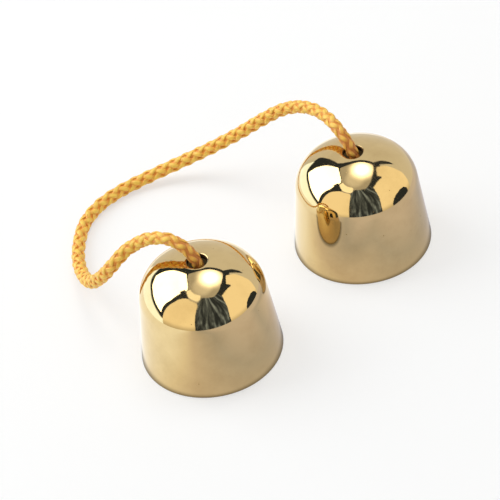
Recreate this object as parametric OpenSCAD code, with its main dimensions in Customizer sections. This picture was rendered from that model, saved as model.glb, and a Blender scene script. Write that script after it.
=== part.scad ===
// A pair of cup cymbals: two flared brass cups, joined by one braided cord.
// The cord runs through a hole in each crown and is stopped by a knot inside.
// Sizes are in millimetres. Both cups stand on their mouths at z = 0, side by side
// along X, and the origin lies midway between them.

/* [Cup] */
// Outside diameter of the mouth
mouth_d = 50; // [42:0.5:60]
// Height from the mouth to the crown, as if it had no hole
cup_h = 41.3; // [34:0.1:50]
// Lean of the skirt from upright, in degrees
flare = 6.4; // [3:0.1:9]
// Outside radius of the crown's arc
crown_r = 29; // [24:0.5:36]
// Outside radius of the arc that turns the skirt into the crown
shoulder_r = 13; // [10:0.5:15]
// Thickness of the brass
wall = 2.2; // [1.8:0.1:2.8]
// Round on both edges of the mouth
rim_round = 0.5; // [0.2:0.1:0.8]

/* [Cord hole] */
// Room round the cord in the hole through the crown
cord_room = 0.95; // [0.95:0.05:2]
// Round on both edges of the hole, which spares the cord
hole_round = 0.8; // [0.6:0.1:0.8]

/* [Cord] */
// Diameter of the braided cord
cord_d = 4.8; // [3.2:0.1:5.4]
// How loosely the knots are drawn up, where 1 is snug
knot_slack = 1.05; // [1.02:0.01:1.3]
// Room between a knot and the crown that it bears on
knot_seat = 0.3; // [0.2:0.1:2]
// Offset of the knots from the cups' axes, on the side away from the cord
knot_offset = 1; // [0:0.1:1.2]
// Length of the cord's end below each knot
tail_l = 9.5; // [6:0.5:14]
// How far the melted bead that seals the cord's end stands out round the cord
bead_lip = 0.3; // [0.1:0.05:0.8]
// Height of the melted bead
bead_h = 1.8; // [1:0.1:2.4]

/* [Layout] */
// Distance between the axes of the two cups
cup_spacing = 73.8; // [64:0.1:90]

/* [Hidden] */
$fn = 96;

BRASS = [0.84, 0.69, 0.40];
GOLDEN_YELLOW = [0.92, 0.68, 0.22];

// Flat sides round the cord, rings along each span of its route, and rings along a knot
cord_sides = 10;
span_rings = 2;
knot_rings = 44;

// How far a cut runs past the faces that it opens
past = 1;

// Cup outline, in the plane of radius and height
hole_r = cord_d / 2 + cord_room;
skirt_out = [cos(flare), sin(flare)];
skirt_up = [-sin(flare), cos(flare)];
skirt_reach = mouth_d / 2 * cos(flare);
crown_c = [0, cup_h - crown_r];
// The shoulder's centre lies shoulder_r inside the skirt and crown_r - shoulder_r from the crown's
shoulder_across = skirt_reach - shoulder_r - crown_c[1] * sin(flare);
shoulder_along = sqrt(pow(crown_r - shoulder_r, 2) - pow(shoulder_across, 2));
shoulder_c = crown_c + shoulder_across * skirt_out + shoulder_along * skirt_up;
shoulder_angle = heading(shoulder_c - crown_c);
// Centres of the rounds on the edges of the mouth and of the hole
rim_outer_c = [(skirt_reach - rim_round) / cos(flare) - rim_round * tan(flare), rim_round];
rim_inner_c = [(skirt_reach - wall + rim_round) / cos(flare) - rim_round * tan(flare), rim_round];
hole_outer_c = on_crown(hole_r + hole_round, crown_r - hole_round);
hole_inner_c = on_crown(hole_r + hole_round, crown_r - wall + hole_round);

// A knot's size, and its place: at its highest it lies knot_seat under the crown
knot_unit = cord_d * knot_slack;
knot_path = [for (i = [0 : knot_rings]) knot_at(360 * i / knot_rings - 180)];
knot_end = knot_path[0][2];
seat_r = crown_r - wall - knot_seat - cord_d / 2;
knot_z = min([for (p = knot_path) on_crown(norm([p[0], p[1] - knot_offset]), seat_r)[1] - p[2]]);
left_knot_c = [-cup_spacing / 2, -knot_offset, knot_z];
right_knot_c = [cup_spacing / 2, -knot_offset, knot_z];

// The cord's route, left to right. The rises are measured from the top of each hole.
// The slack falls to the table behind the cups, and its heights are those of the cord's underside.
left_top = [-cup_spacing / 2, 0, cup_h];
right_top = [cup_spacing / 2, 0, cup_h];
left_rise = [
    [-0.2, 0.5, 0.1], [-1.3, 4.8, 4.4], [-3.1, 11.1, 5.4], [-5.1, 19, 2.1], [-7, 24.4, -2.2]
];
slack = [
    [-46.9, 27.6, 33.3], [-51, 31, 27.5], [-52.3, 37.5, 19.1], [-51.2, 46.6, 10.4], [-47.5, 57.5, 4.2],
    [-42, 68, 1], [-35, 76.5, 0.2], [-26.5, 83.5, 0.1], [-17, 87, 0.1], [-7.5, 87.5, 0.1],
    [1.8, 85.7, 0.6], [10.5, 81.7, 2.5], [18.7, 75.9, 5.9], [26.2, 68.4, 11.1], [32.5, 59.9, 17.9],
    [37, 51.1, 25.9], [40.5, 42.6, 33]
];
right_rise = [
    [5.2, 34, -0.6], [5, 25.1, 2.9], [3.3, 16.3, 5.1], [1.2, 9, 5.7], [0.2, 3.7, 3.6], [0, 0.2, -0.8]
];
route = concat(
    [left_knot_c + [0, 0, knot_end]],
    [for (p = left_rise) left_top + p],
    [for (p = slack) p + [0, 0, cord_d / 2]],
    [for (p = right_rise) right_top + p],
    [right_knot_c + [0, 0, knot_end]]
);
cord_path = smooth(route, span_rings);

echo(cord_length = path_length(cord_path));
echo(knot_gap = least_gap(knot_path, 2 * cord_d) - cord_d);

function heading(v) = atan2(v[1], v[0]);
function unit(v) = v / norm(v);
// Point at radius r from the axis, on the arc of radius arc_r about the crown's centre
function on_crown(r, arc_r) = [r, crown_c[1] + sqrt(arc_r * arc_r - r * r)];

// Overhand knot about the origin, with both ends upright on the Z axis, for angles -180 to 180
function knot_at(a) = knot_unit * [
    -0.2 + 0.2 * cos(a) + 0.8 * cos(2 * a) + 0.4 * cos(3 * a),
    -0.1 * sin(a) - 0.8 * sin(2 * a) - 0.5 * sin(3 * a),
    -0.4 * a * PI / 180 + 1.4 * sin(a) + 0.6 * sin(2 * a) + 0.1 * sin(3 * a)
];

// Smooth curve through the points, upright at both ends, with so many rings to a span
function mirrored(p, about) = [p[0], p[1], 2 * about[2] - p[2]];
function smooth(points, rings) = let (
    last = len(points) - 1,
    q = concat([mirrored(points[1], points[0])], points, [mirrored(points[last - 1], points[last])])
) concat(
    [for (i = [1 : last], k = [0 : rings - 1]) curve_at(q[i - 1], q[i], q[i + 1], q[i + 2], k / rings)],
    [points[last]]
);
function curve_at(a, b, c, d, t) = (
    2 * b + (c - a) * t + (2 * a - 5 * b + 4 * c - d) * t * t + (3 * b - a - 3 * c + d) * t * t * t
) / 2;

// Length of a path up to point i, and the least gap between points further apart along it than skip
function lengths(path) = [
    for (i = 0, s = 0; i < len(path); i = i + 1, s = i < len(path) ? s + norm(path[i] - path[i - 1]) : s) s
];
function path_length(path) = lengths(path)[len(path) - 1];
function least_gap(path, skip) = let (s = lengths(path)) min([
    for (i = [0 : len(path) - 1], j = [i : len(path) - 1]) if (s[j] - s[i] > skip) norm(path[j] - path[i])
]);

// Direction of travel at each point, upright at the ends, and a sideways direction that doesn't twist
function travel(path, end) = [
    for (i = [0 : len(path) - 1])
        i == 0 ? [0, 0, end[0]] : i == len(path) - 1 ? [0, 0, end[1]] : unit(path[i + 1] - path[i - 1])
];
function sideways(t) = [
    for (i = 0, s = [1, 0, 0]; i < len(t); i = i + 1, s = i < len(t) ? unit(s - (s * t[i]) * t[i]) : s) s
];

// Round tube along a path whose ends are upright, pointing up (1) or down (-1)
module tube(path, d, end) {
    t = travel(path, end);
    s = sideways(t);
    n = cord_sides;
    last = len(path) - 1;
    points = [
        for (i = [0 : last], k = [0 : n - 1])
            path[i] + d / 2 * (cos(360 * k / n) * s[i] + sin(360 * k / n) * cross(t[i], s[i]))
    ];
    walls = [
        for (i = [0 : last - 1], k = [0 : n - 1]) let (a = i * n + k, b = i * n + (k + 1) % n)
            each [[a, b + n, b], [a, a + n, b + n]]
    ];
    first_cap = [for (k = [0 : n - 1]) k];
    last_cap = [for (k = [n - 1 : -1 : 0]) last * n + k];
    polyhedron(points, concat(walls, [first_cap], [last_cap]));
}

// Filled shape of the bell, set in from the cup's outside and carried on below the mouth
module bell(inset, below) {
    skirt_top = shoulder_c + (shoulder_r - inset) * skirt_out;
    polygon([
        [0, -below],
        [(skirt_reach - inset) / cos(flare) + below * tan(flare), -below],
        skirt_top,
        [0, skirt_top[1]]
    ]);
    translate(shoulder_c)
        circle(shoulder_r - inset);
    translate(crown_c)
        intersection() {
            circle(crown_r - inset);
            wedge(2 * crown_r, shoulder_angle, 90);
        }
}

// What comes off an edge to leave it round: beyond radius r about c, between two headings
module edge_cut(c, r, from, to)
    translate(c)
        difference() {
            wedge(2 * r, from, to);
            circle(r);
        }

module wedge(r, from, to) {
    middle = (from + to) / 2;
    polygon([[0, 0], r * [cos(from), sin(from)], 1.5 * r * [cos(middle), sin(middle)], r * [cos(to), sin(to)]]);
}

module cup_outline()
    difference() {
        bell(0, 0);
        bell(wall, past);
        translate([-mouth_d, -past])
            square([mouth_d + hole_r, cup_h + 2 * past]);
        edge_cut(rim_outer_c, rim_round, -90, flare);
        edge_cut(rim_inner_c, rim_round, 180 + flare, 270);
        edge_cut(hole_outer_c, hole_round, heading(hole_outer_c - crown_c), 180);
        edge_cut(hole_inner_c, hole_round, 180, 180 + heading(hole_inner_c - crown_c));
    }

module cup()
    color(BRASS)
        rotate_extrude()
            cup_outline();

module knot(c)
    color(GOLDEN_YELLOW)
        translate(c)
            tube(knot_path, cord_d, [-1, -1]);

// Straight end of the cord under a knot, closed by a melted bead
module tail(c)
    color(GOLDEN_YELLOW)
        translate(c - [0, 0, knot_end + tail_l])
            rotate_extrude() {
                square([cord_d / 2, tail_l]);
                square([cord_d / 2 + bead_lip - bead_h / 2, bead_h]);
                translate([cord_d / 2 + bead_lip - bead_h / 2, bead_h / 2])
                    circle(d = bead_h);
            }

module left_cup() translate([-cup_spacing / 2, 0, 0]) cup();
module right_cup() translate([cup_spacing / 2, 0, 0]) cup();
module cord() color(GOLDEN_YELLOW) tube(cord_path, cord_d, [1, -1]);
module left_knot() knot(left_knot_c);
module right_knot() knot(right_knot_c);
module left_tail() tail(left_knot_c);
module right_tail() tail(right_knot_c);

left_cup();
right_cup();
cord();
left_knot();
right_knot();
left_tail();
right_tail();
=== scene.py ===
import math

import bpy
from bpy.props import FloatProperty, FloatVectorProperty, IntProperty, PointerProperty
from mathutils import Matrix, Vector, noise


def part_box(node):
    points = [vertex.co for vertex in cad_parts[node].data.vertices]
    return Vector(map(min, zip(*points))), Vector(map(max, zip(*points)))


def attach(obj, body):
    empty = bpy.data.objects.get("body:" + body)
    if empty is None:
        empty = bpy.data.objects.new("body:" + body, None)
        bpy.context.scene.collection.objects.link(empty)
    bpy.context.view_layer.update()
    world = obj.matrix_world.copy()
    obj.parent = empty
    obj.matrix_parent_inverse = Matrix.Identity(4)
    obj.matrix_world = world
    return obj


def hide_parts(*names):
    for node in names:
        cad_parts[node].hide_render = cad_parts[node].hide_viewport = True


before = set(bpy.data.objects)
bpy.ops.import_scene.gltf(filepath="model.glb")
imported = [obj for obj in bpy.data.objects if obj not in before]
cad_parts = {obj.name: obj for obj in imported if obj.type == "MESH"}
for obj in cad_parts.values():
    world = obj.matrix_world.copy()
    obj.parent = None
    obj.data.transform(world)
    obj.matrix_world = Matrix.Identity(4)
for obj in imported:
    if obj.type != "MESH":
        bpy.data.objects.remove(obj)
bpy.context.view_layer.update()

bl_info = {
    "name": "Cup Cymbals",
    "version": (1, 0, 0),
    "blender": (4, 5, 0),
    "location": "View3D > Sidebar > Cup Cymbals",
    "description": "Finishes a pair of brass cups on a braided cord, and sets a studio round them",
    "category": "Object",
}

# Places that the frame gives: the middle of each cup, and the corners of the cord's end under a knot
LEFT_CUP = (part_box("left_cup")[0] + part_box("left_cup")[1]) / 2
RIGHT_CUP = (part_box("right_cup")[0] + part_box("right_cup")[1]) / 2
SIDES = (("left", LEFT_CUP.x), ("right", RIGHT_CUP.x))
TAIL_LOW, TAIL_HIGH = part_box("left_tail")

# The cord's route. The rises are measured from the top of each hole, and the slack's heights are those of
# the cord's underside.
LEFT_RISE = (
    (-0.0002, 0.0005, 0.0001), (-0.0013, 0.0048, 0.0044), (-0.0031, 0.0111, 0.0054),
    (-0.0051, 0.019, 0.0021), (-0.007, 0.0244, -0.0022),
)
SLACK = (
    (-0.0469, 0.0276, 0.0333), (-0.051, 0.031, 0.0275), (-0.0523, 0.0375, 0.0191),
    (-0.0512, 0.0466, 0.0104), (-0.0475, 0.0575, 0.0042), (-0.042, 0.068, 0.001),
    (-0.035, 0.0765, 0.0002), (-0.0265, 0.0835, 0.0001), (-0.017, 0.087, 0.0001),
    (-0.0075, 0.0875, 0.0001), (0.0018, 0.0857, 0.0006), (0.0105, 0.0817, 0.0025),
    (0.0187, 0.0759, 0.0059), (0.0262, 0.0684, 0.0111), (0.0325, 0.0599, 0.0179),
    (0.037, 0.0511, 0.0259), (0.0405, 0.0426, 0.033),
)
RIGHT_RISE = (
    (0.0052, 0.034, -0.0006), (0.005, 0.0251, 0.0029), (0.0033, 0.0163, 0.0051),
    (0.0012, 0.009, 0.0057), (0.0002, 0.0037, 0.0036), (0, 0.0002, -0.0008),
)

# Points of the smooth line from each of these to the next, and of a knot
SPAN_POINTS = 16
KNOT_POINTS = 240

# A knot's line, in cord diameters where it is snug: its shift across, its fall, and the sizes of its first
# three waves across, in depth and in height
KNOT_SHIFT = -0.2
KNOT_FALL = -0.4
KNOT_WAVES = ((0.2, 0.8, 0.4), (-0.1, -0.8, -0.5), (1.4, 0.6, 0.1))

# Length of cord, from each hole, in which the braid goes from drawn tight to slack, and in which rubbing
# narrows it and dirt and painted shade darken it
RELAXING = 0.07
RUBBING = 0.022

# Strands of the braid, half of them winding each way
STRANDS = 8

# The yarn's noise: filaments across a strand, along it and from strand to strand, and longer patches along
# it and from strand to strand, with lengths in millimetres
MILLIMETRES = 1000
FILAMENTS = (5, 0.35, 7.3)
FILAMENT_SCALE = 1.6
FILAMENT_HEIGHT = 0.00012
PATCHES = (0.3, 3.1)

# Shares of the cord's radius between which the yarn goes from painted shade to lit, and how much the
# patches, the filaments and the darkening near the holes, which is dirt and painted shade, change that.
# Noise swings to both sides of its middle.
YARN_LIT = (0.78, 0.99)
NOISE_MIDDLE = 0.5
PATCH_SHARE = 0.5
FILAMENT_SHARE = 0.4
NEAR_HOLE_DARKENING = 0.45

# The melted ends: how fine and how high their clouds are, and the roughness between which they vary
MELT_SCALE = 900
MELT_HEIGHT = 0.0001
MELT_ROUGHNESS = (0.15, 0.45)

# The beads: their rings and sides, how blunt their edge is, and the lumps: their size, how closely they
# follow each other round and up a bead, and how much they differ between the two ends
BEAD_RINGS = 24
BEAD_SIDES = 48
BEAD_EDGE = 0.6
LUMP_SIZE = 0.09
LUMPS_ROUND = 2.1
LUMPS_UP = 1.7
LUMPS_APART = 300

# The cups' facets: sides round a cup, length of a step along its arcs and along its rounded edges, the
# fewest steps of an arc, and the number of steps along the skirt, through the hole and under the rim
SEGMENTS = 256
ARC_STEP = 0.0005
EDGE_STEP = 0.0001
ARC_LEAST = 3
SKIRT_STEPS = 40
HOLE_STEPS = 4
RIM_STEPS = 3

# Marks of handling: the noise values between which a smudge comes up, the detail and grain of that noise,
# the size of a speck in its cell, and the share of cells that have none
SMUDGE = (0.45, 0.75)
SMUDGE_DETAIL = 4
SMUDGE_GRAIN = 0.6
SPECK_SIZE = 0.16
SPECK_FREE = 0.975

# How much a smudge dulls the brass, how much of the brass the shade painted on the hole's wall covers, and
# the roughness that a speck and that painted shade add
SMUDGE_DULLING = 0.3
HOLE_SHADE_COVER = 0.9
SPECK_ROUGHNESS = 0.3
HOLE_SHADE_ROUGHNESS = 0.4

# The polished outside and the turned inside: how fine their marks are, and the roughness of the clean
# metal with what smudges add to it
POLISHED_MARKS = {"Smudge scale": 90, "Speck scale": 700, "Wave scale": 60}
POLISHED_SHEEN = (0.045, 0.05)
TURNED_MARKS = {"Smudge scale": 35, "Speck scale": 500, "Wave scale": 140}
TURNED_SHEEN = (0.3, 0.15)

# The tool's rings inside: how quickly and how much they vary, the share of waves among them, and the
# strength of both
RING_SCALE = 0.4
RING_VARIES = 2
RING_WAVES = 0.5
RING_STRENGTH = 0.6

# Radius of the floor and of the table in its middle, the sides of their discs, and the share of their look
# that is plain white
FLOOR_RADIUS = 4
TABLE_RADIUS = 0.18
DISC_SIDES = 128
FLOOR_GLOW = 0.55

# Distances of the studio's cards from the aim, where near ones hide those behind, how far the softbox's
# frame stands behind it, the degrees from one column of a card to the next, and its rows
SOFTBOX_DISTANCE = 1.5
NEAR = 1.0
MIDDLE = 1.08
BEHIND = 1.16
CEILING_DISTANCE = 1.6
BLOCK_DISTANCE = 0.26
FRAME_DEPTH = 0.02
CARD_STEP = 4
CARD_ROWS = 12

# Colours of the studio
WHITE = (1, 1, 1)
SURROUND_COLOUR = (0.94, 0.97, 1)
SOFTBOX_COLOUR = (0.97, 0.99, 1)
LOW_CARD_COLOUR = (0.72, 0.86, 1)
STRIP_COLOUR = (1, 0.97, 0.85)
CEILING_COLOUR = (1, 0.985, 0.95)
PANEL_COLOUR = (1, 0.91, 0.715)
DARK_COLOUR = (0.55, 0.72, 1)

# Heights between which the panels brighten, and the share of brightness that their foot keeps
PANEL_HEIGHTS = (-0.2, 0.1)
PANEL_DIM = 0.6

# Brightness of black cloth, what a fold's crest adds to it, how closely the folds follow each other round
# and up the curtain, and the noise values between which a crest comes up
DARK_GLOW = 0.06
CREST_GLOW = 0.55
FOLDS = (10, 1.5)
CREST = (0.38, 0.68)

# Stations of the cards, in degrees seen from the aim: a bearing, and the elevation of the card's lower and
# upper edge there. A bearing of 0 is towards the camera, and grows to the camera's right.
SOFTBOX = (
    (-80, 12, 12.5), (-83.7, 13.5, 29), (-87, 14.5, 46), (-90, 15.5, 63), (-91, 16, 71.5),
    (-104, 19, 72.5), (-119, 21.5, 71), (-134, 20.5, 67.5), (-138, 19.5, 65.8), (-142, 29, 63.8),
    (-145, 41, 62.3), (-147.5, 60.5, 61))
SOFTBOX_FRAME = (
    (-62, 0, 68), (-74, 1, 69), (-80, 4, 70), (-86, 8, 72.2), (-104, 13, 73.3), (-119, 16, 72.2),
    (-134, 15, 69), (-147, 13, 64), (-156, 20, 61), (-158, 28, 58))
LEFT_PANEL = (
    (-20, -16, 58), (-23, -16, 64), (-30, -16, 66), (-58, -16, 66), (-64, -16, 64.5), (-70.5, -16, 61.5),
    (-72, -8, 60), (-74, 16, 58), (-75.5, 33, 57), (-76.3, 41, 54.5), (-77, 49, 50))
RIGHT_PANEL = (
    (36, -16, 8), (38, -16, 22), (43, -16, 42), (48, -16, 54), (57, -16, 63), (75, -16, 61.5),
    (85, -16, 59), (91, -16, 56), (95, -16, 55.5), (96, -16, 61), (98, -16, 61), (104, 10, 60.5),
    (112, 30, 59.5), (120, 45, 57))
CURTAIN = (
    (58, -16, 68), (30, -16, 70), (15, -16, 72), (0, -16, 73.5), (-15, -16, 73), (-21, -16, 67),
    (-24, -16, 66))
LEFT_STRIP = ((-16, 71, 76), (-25, 68, 77), (-57, 68, 76), (-85, 70, 75))
LOW_CARD = (
    (-68, -16, 0.5), (-76, -16, 0.5), (-84, -16, 5), (-96, -16, 10.5), (-119, -16, 15.5), (-139, -16, 14),
    (-152, -16, 19))
BACKDROP = (
    (100, -16, 48), (131, -16, 56), (150, -16, 60), (165, -16, 62.5), (180, -16, 64), (195, -16, 62),
    (203, -16, 58))
CEILING = ((-180, 40, 90), (180, 40, 90))
SIDE_BLOCK = ((58, -6, 3), (62, -6, 11), (68, -6, 15), (78, -6, 16), (85, -6, 12), (89, -6, 4))
FLAGS = {
    "left_band": ((-57, 65, 67), (-75, 64, 68), (-93, 62, 69)),
    "right_band": (
        (20, 66, 72), (36, 62, 69.5), (57, 62, 69.5), (90, 54, 68.5), (110, 55, 64.5), (126, 50, 59),
        (131, 55, 58)),
    "notch": ((122, 33, 36), (126, 36, 57), (131, 44, 58), (134, 55, 58)),
    "back_band": (
        (131, 54, 58.5), (150, 57.5, 61.5), (165, 60, 64), (180, 61.5, 66), (195, 59.5, 66), (203, 55, 65),
        (209, 52, 64)),
}

# The paper's gleam in the brass: the bearing of its bright side, how far from the middle it goes from one
# cup's to the other's, its height over the floor, how much of it hides the floor, and the width and the
# dimness of the shade round a cup's foot. Each stop is a distance from a cup's axis towards the bright
# side, and the paper's colour there.
# Painted light and shadow: the gleam is a glowing sheet that only reflections see, bright on the softbox's
# side of each cup, with each cup's shadow painted on the other side and painted shade round each foot
GLEAM_BEARING = -115
GLEAM_BLEND = 0.015
GLEAM_HEIGHT = 0.0001
GLEAM_COVER = 0.8
FOOT_SHADE = 0.003
FOOT_DIM = 0.22
GLEAM_STOPS = (
    (-0.058, (0.47, 0.45, 0.53)), (-0.034, (0.33, 0.34, 0.41)), (-0.002, (0.50, 0.46, 0.46)),
    (0.01, (0.68, 0.66, 0.63)), (0.026, (0.83, 0.87, 0.92)), (0.045, (0.88, 0.93, 0.98)))

# The round lamp in the ceiling: its bearing and elevation, the angles from its middle between which it
# comes up, and how steeply it does
LAMP_PLACE = (140, 73)
LAMP_ANGLES = (24, 5)
LAMP_FADE = 4.5

# Elevations between which the ceiling brightens, and the share of its brightness that it starts from
CEILING_ELEVATIONS = (75, 83)
CEILING_DIM = 0.6

# What all colours and all places have in common among the settings
COLOUR = {"size": 3, "subtype": "COLOR", "min": 0, "max": 1}
PLACE = {"size": 3, "subtype": "TRANSLATION", "unit": "LENGTH"}


class CupSettings(bpy.types.PropertyGroup):
    """Sizes and colours of the two cups."""

    mouth: FloatProperty(
        name="Mouth", description="Outside diameter of the mouth", default=0.05, unit="LENGTH")
    crown_height: FloatProperty(
        name="Crown height", description="Height of the crown, as if it had no hole",
        default=0.0413, unit="LENGTH")
    flare: FloatProperty(
        name="Flare", description="Lean of the skirt from upright",
        default=math.radians(6.4), subtype="ANGLE")
    crown_radius: FloatProperty(
        name="Crown radius", description="Outside radius of the crown's arc", default=0.029, unit="LENGTH")
    shoulder_radius: FloatProperty(
        name="Shoulder radius", description="Outside radius of the arc between skirt and crown",
        default=0.013, unit="LENGTH")
    wall: FloatProperty(
        name="Wall", description="Thickness of the brass", default=0.0022, unit="LENGTH")
    rim_round: FloatProperty(
        name="Rim round", description="Round on both edges of the mouth", default=0.0005, unit="LENGTH")
    hole: FloatProperty(
        name="Hole", description="Diameter of the hole for the cord", default=0.0067, unit="LENGTH")
    hole_round: FloatProperty(
        name="Hole round", description="Round on both edges of the hole", default=0.0008, unit="LENGTH")
    buffing_waves: FloatProperty(
        name="Buffing waves", description="Height of the faint waves that buffing left outside",
        default=0.00001, unit="LENGTH")
    tool_pitch: FloatProperty(
        name="Tool pitch", description="Distance between the lathe tool's rings inside",
        default=0.0005, unit="LENGTH")
    tool_depth: FloatProperty(
        name="Tool depth", description="Depth of the lathe tool's rings inside",
        default=0.00003, unit="LENGTH")
    brass: FloatVectorProperty(
        name="Brass", description="Colour of the polished outside", default=(0.70, 0.52, 0.25), **COLOUR)
    tarnish: FloatVectorProperty(
        name="Tarnish", description="Colour of the brass where it has dulled",
        default=(0.42, 0.28, 0.11), **COLOUR)
    # Painted shade: a near-black colour painted on the hole's wall, standing for the shade in the hole
    # round the cord
    hole_shade: FloatVectorProperty(
        name="Hole shade", description="Colour of the grime that the cord rubs into the hole",
        default=(0.03, 0.014, 0.008), **COLOUR)
    # How far from the hole's wall that painted shade reaches
    hole_shade_reach: FloatProperty(
        name="Grime reach", description="How far from the hole's wall the grime reaches",
        default=0.0005, unit="LENGTH")


class CordSettings(bpy.types.PropertyGroup):
    """Sizes and colours of the braided cord."""

    diameter: FloatProperty(
        name="Diameter", description="Outside diameter of the cord", default=0.0048, unit="LENGTH")
    knot_slack: FloatProperty(
        name="Knot slack", description="How loosely the knots are drawn up, where 1 is snug", default=1.05)
    knot_offset: FloatProperty(
        name="Knot offset", description="Distance of the knots from the cups' axes",
        default=0.001, unit="LENGTH")
    lead: FloatProperty(
        name="Lead", description="Length in which a strand winds once round the cord",
        default=0.022, unit="LENGTH")
    weave: FloatProperty(
        name="Weave", description="How far a strand rises and dips as it crosses others",
        default=0.00024, unit="LENGTH")
    strand_width: FloatProperty(
        name="Strand width", description="Width of a strand along the cord's surface",
        default=0.0018, unit="LENGTH")
    strand_thickness: FloatProperty(
        name="Strand thickness", description="Thickness of a strand", default=0.00095, unit="LENGTH")
    swell: FloatProperty(
        name="Swell", description="How much wider a strand is where it rises than where it dips",
        default=0.05)
    narrowing: FloatProperty(
        name="Narrowing", description="How much narrower a strand is where a hole rubs the cord",
        default=0.22)
    core: FloatProperty(
        name="Core", description="Diameter of the core under the strands", default=0.0037, unit="LENGTH")
    bead_lip: FloatProperty(
        name="Bead lip", description="How far the melted bead at each end stands out round the cord",
        default=0.0003, unit="LENGTH")
    bead_height: FloatProperty(
        name="Bead height", description="Height of the melted bead", default=0.0018, unit="LENGTH")
    drawn: FloatProperty(
        name="Drawn", description="Share of its diameter that the cord keeps where it is drawn tight",
        default=0.94)
    relaxed: FloatProperty(
        name="Relaxed", description="Share of its diameter that the cord takes where it lies slack",
        default=1.07)
    step: FloatProperty(
        name="Step", description="Distance between points along the cord", default=0.0004, unit="LENGTH")
    facets: IntProperty(
        name="Facets", description="Sides of a strand's section", default=10, min=3)
    yarn: FloatVectorProperty(
        name="Yarn", description="Colour of the yarn where it faces the light",
        default=(0.92, 0.60, 0.09), **COLOUR)
    # Painted shade: the yarn's colour deep between the strands, where shade falls
    crevice_shade: FloatVectorProperty(
        name="Crevice shade", description="Colour of the yarn deep between the strands",
        default=(0.80, 0.30, 0.035), **COLOUR)
    # Dirt and painted shade: the colour deep between the strands near the holes
    soiled_and_shaded: FloatVectorProperty(
        name="Soiled and shaded", description="Colour deep between the strands where the holes rub the cord",
        default=(0.28, 0.06, 0.015), **COLOUR)
    melted: FloatVectorProperty(
        name="Melted end", description="Colour of the melted bead at each end",
        default=(0.55, 0.24, 0.03), **COLOUR)


class StageSettings(bpy.types.PropertyGroup):
    """Camera, lamps and floor."""

    lens: FloatProperty(
        name="Lens", description="Focal length of the camera", default=158.8, unit="CAMERA")
    eye: FloatVectorProperty(
        name="Eye", description="Place of the camera", default=(-0.34893, -0.4582, 0.53688), **PLACE)
    aim: FloatVectorProperty(
        name="Aim", description="Point on the floor in the middle of the picture",
        default=(0.00556, 0.02708, 0), **PLACE)
    roll: FloatProperty(
        name="Roll", description="Turn of the camera about its view",
        default=math.radians(-9.27), subtype="ANGLE")
    floor: FloatVectorProperty(
        name="Floor", description="Colour of the floor", default=(0.94, 0.94, 0.94), **COLOUR)
    surround: FloatProperty(
        name="Surround", description="Brightness of the pale surround", default=0.84)
    fill: FloatProperty(
        name="Fill", description="Brightness of the light that the surround gives", default=0.52)
    softbox_light: FloatProperty(
        name="Softbox light", description="Brightness of the light that the softbox gives", default=3.0)
    softbox_shine: FloatProperty(
        name="Softbox shine", description="Brightness of the softbox in reflections", default=4.0)
    strip: FloatProperty(
        name="Strip", description="Brightness of the strip over the left panel", default=1.6)
    ceiling: FloatProperty(
        name="Ceiling", description="Brightness of the ceiling round the top lamp", default=0.95)
    low_card: FloatProperty(
        name="Low card", description="Brightness of the white card under the softbox", default=2.1)
    paper: FloatProperty(
        name="Paper", description="Brightness of the paper that the brass mirrors", default=1.5)
    under_shine: FloatProperty(
        name="Under shine", description="Brightness that the brass mirrors under the cups", default=0.07)
    under_light: FloatProperty(
        name="Under light", description="Brightness of the light on the knots under the cups", default=1.0)
    panels: FloatProperty(
        name="Panels", description="Brightness of the two panels beside the camera", default=1.3)
    top_lamp: FloatProperty(
        name="Top lamp", description="Brightness that the round lamp adds to the ceiling", default=5.0)


# Nodes


def set_inputs(tree, node, inputs):
    """Set a node's inputs to values, or link them from sockets."""
    for key, value in inputs.items():
        if isinstance(value, bpy.types.NodeSocket):
            tree.links.new(value, node.inputs[key])
        else:
            node.inputs[key].default_value = value


def add_node(tree, kind, inputs=None, **settings):
    """A new node, with its settings and inputs."""
    node = tree.nodes.new(kind)
    for name, value in settings.items():
        setattr(node, name, value)
    set_inputs(tree, node, inputs or {})
    return node


def result(tree, kind, inputs=None, **settings):
    """The first output of a new node."""
    return add_node(tree, kind, inputs, **settings).outputs[0]


def add_sockets(tree, way, kind, *names):
    """New sockets of a node group, all of one kind."""
    return [tree.interface.new_socket(name=name, in_out=way, socket_type=kind) for name in names]


def maths(tree, operation, *values, **settings):
    """The result of a Math node."""
    return result(tree, "ShaderNodeMath", dict(enumerate(values)), operation=operation, **settings)


def vectors(tree, operation, *values):
    """The vector that a Vector Math node gives. A scale's factor is its second value."""
    keys = (0, 3) if operation == "SCALE" else (0, 1)
    return result(tree, "ShaderNodeVectorMath", dict(zip(keys, values)), operation=operation)


def measured(tree, operation, *values):
    """The number that a Vector Math node gives."""
    inputs = dict(enumerate(values))
    return add_node(tree, "ShaderNodeVectorMath", inputs, operation=operation).outputs["Value"]


def parts_of(tree, vector):
    """The X, Y and Z of a vector."""
    return add_node(tree, "ShaderNodeSeparateXYZ", {0: vector}).outputs


def vector_of(tree, *parts):
    """A vector made from its first parts, where those that aren't given are 0."""
    return result(tree, "ShaderNodeCombineXYZ", dict(enumerate(parts)))


def stretched(tree, parts, factors):
    """A vector made from parts, each of them times its factor."""
    return vector_of(tree, *(maths(tree, "MULTIPLY", *pair) for pair in zip(parts, factors)))


def ranged(tree, value, low, high, to_low=0, to_high=1, way="LINEAR"):
    """A value brought from one range into another, and held there."""
    inputs = {"Value": value, "From Min": low, "From Max": high, "To Min": to_low, "To Max": to_high}
    return result(tree, "ShaderNodeMapRange", inputs, interpolation_type=way)


def noise_at(tree, place, scale, detail, grain=0.5):
    """Noise at a place, in which grain is the share of each finer layer."""
    inputs = {"Vector": place, "Scale": scale, "Detail": detail, "Roughness": grain}
    return result(tree, "ShaderNodeTexNoise", inputs)


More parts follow.
